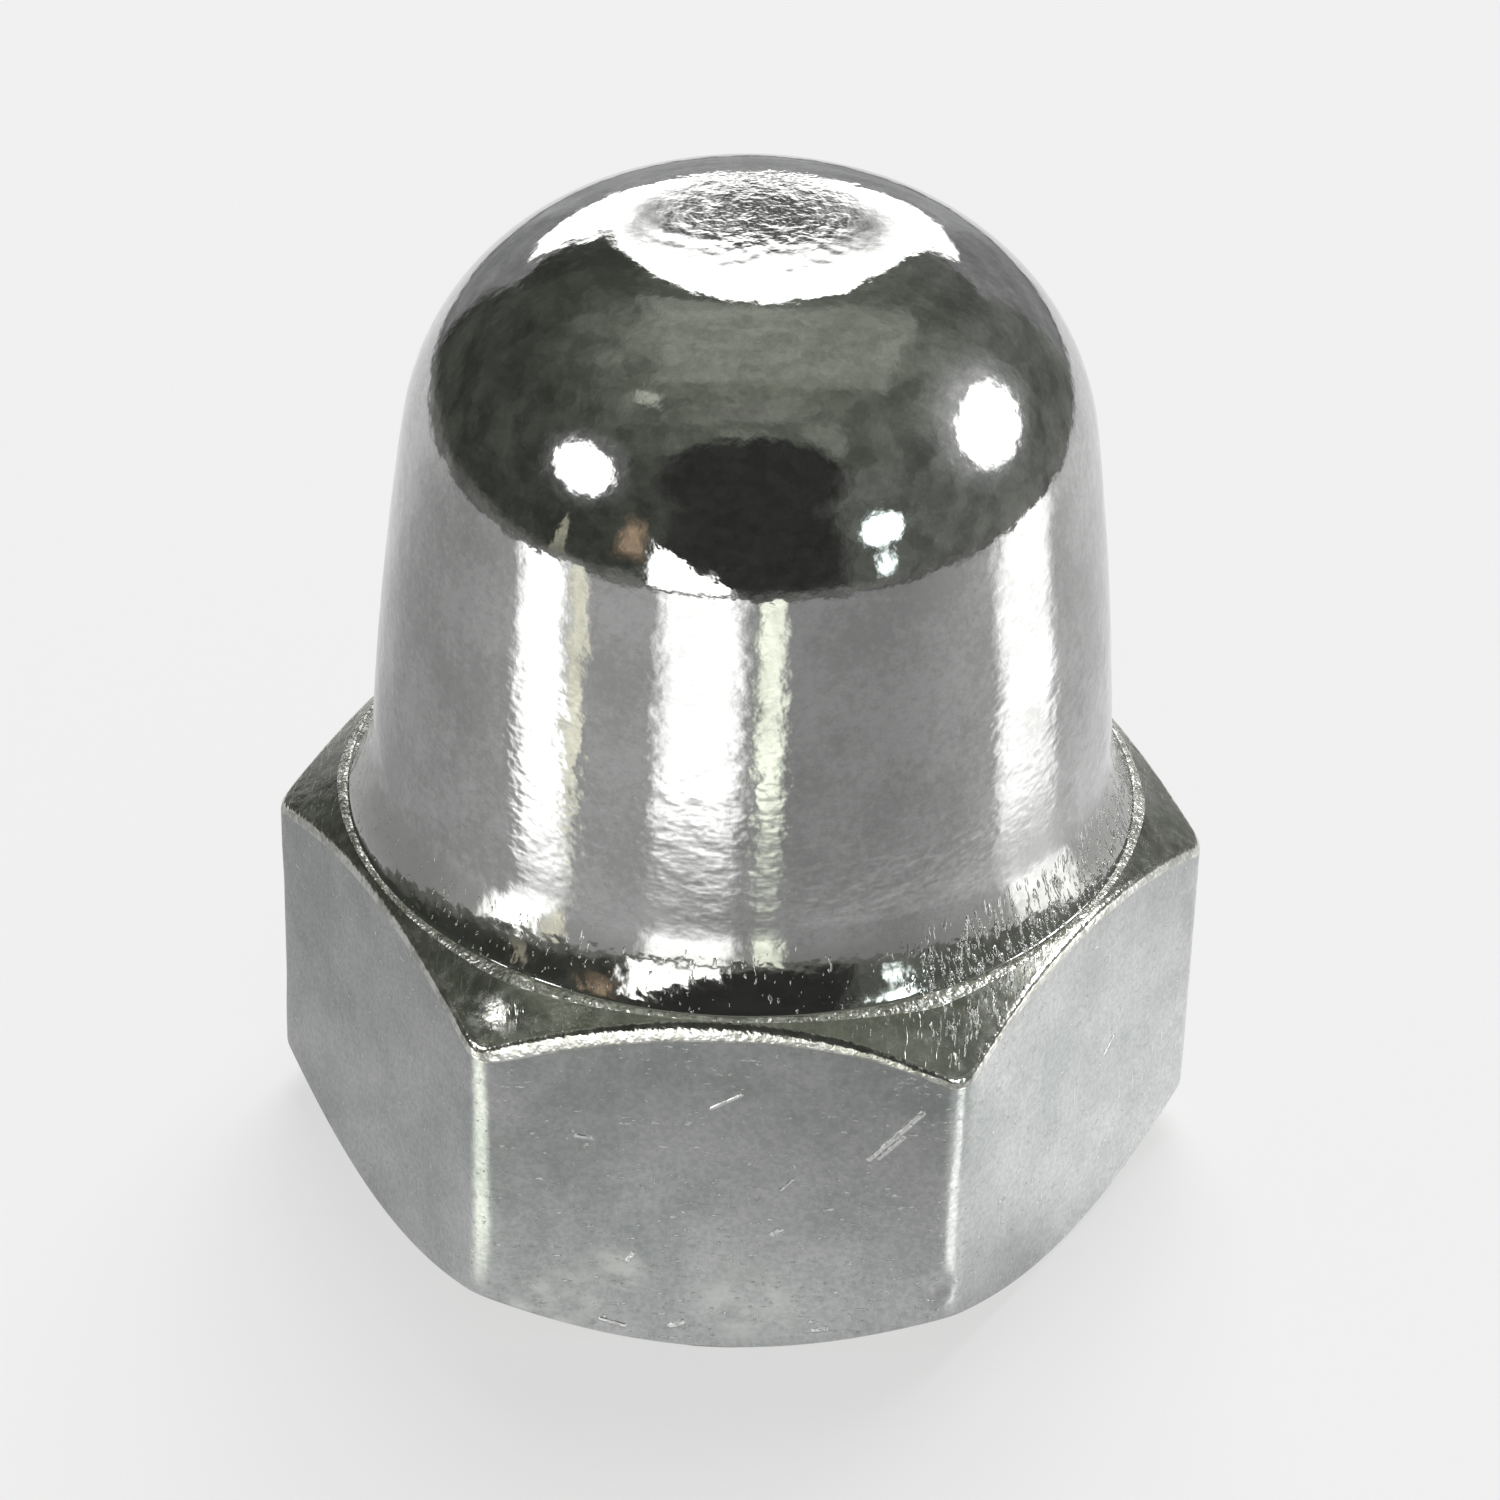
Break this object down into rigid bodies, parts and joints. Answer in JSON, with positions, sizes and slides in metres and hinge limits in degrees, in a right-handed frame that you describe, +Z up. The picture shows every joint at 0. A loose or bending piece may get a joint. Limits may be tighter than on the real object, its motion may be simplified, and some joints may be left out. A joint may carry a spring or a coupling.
{
  "type": "domed cap nut",
  "caption": "One-piece chrome-plated hexagon cap nut with a tall, flat-topped domed crown and a blind threaded hole in its base.",
  "frame": {"origin": "centre of the flat bearing face that the nut stands on", "axes": "+Z up the thread's axis towards the dome, one flat of the hexagon facing -Y, two corners along X"},
  "size_m": [0.009, 0.0078, 0.01],
  "materials": {
    "plating": "bright chrome plate: mirror crown with fine orange-peel ripples, duller rolled flats with small flecks, nicks and scratches"
  },
  "bodies": {
    "root": {"cap_nut": "plating"}
  },
  "joints": []
}
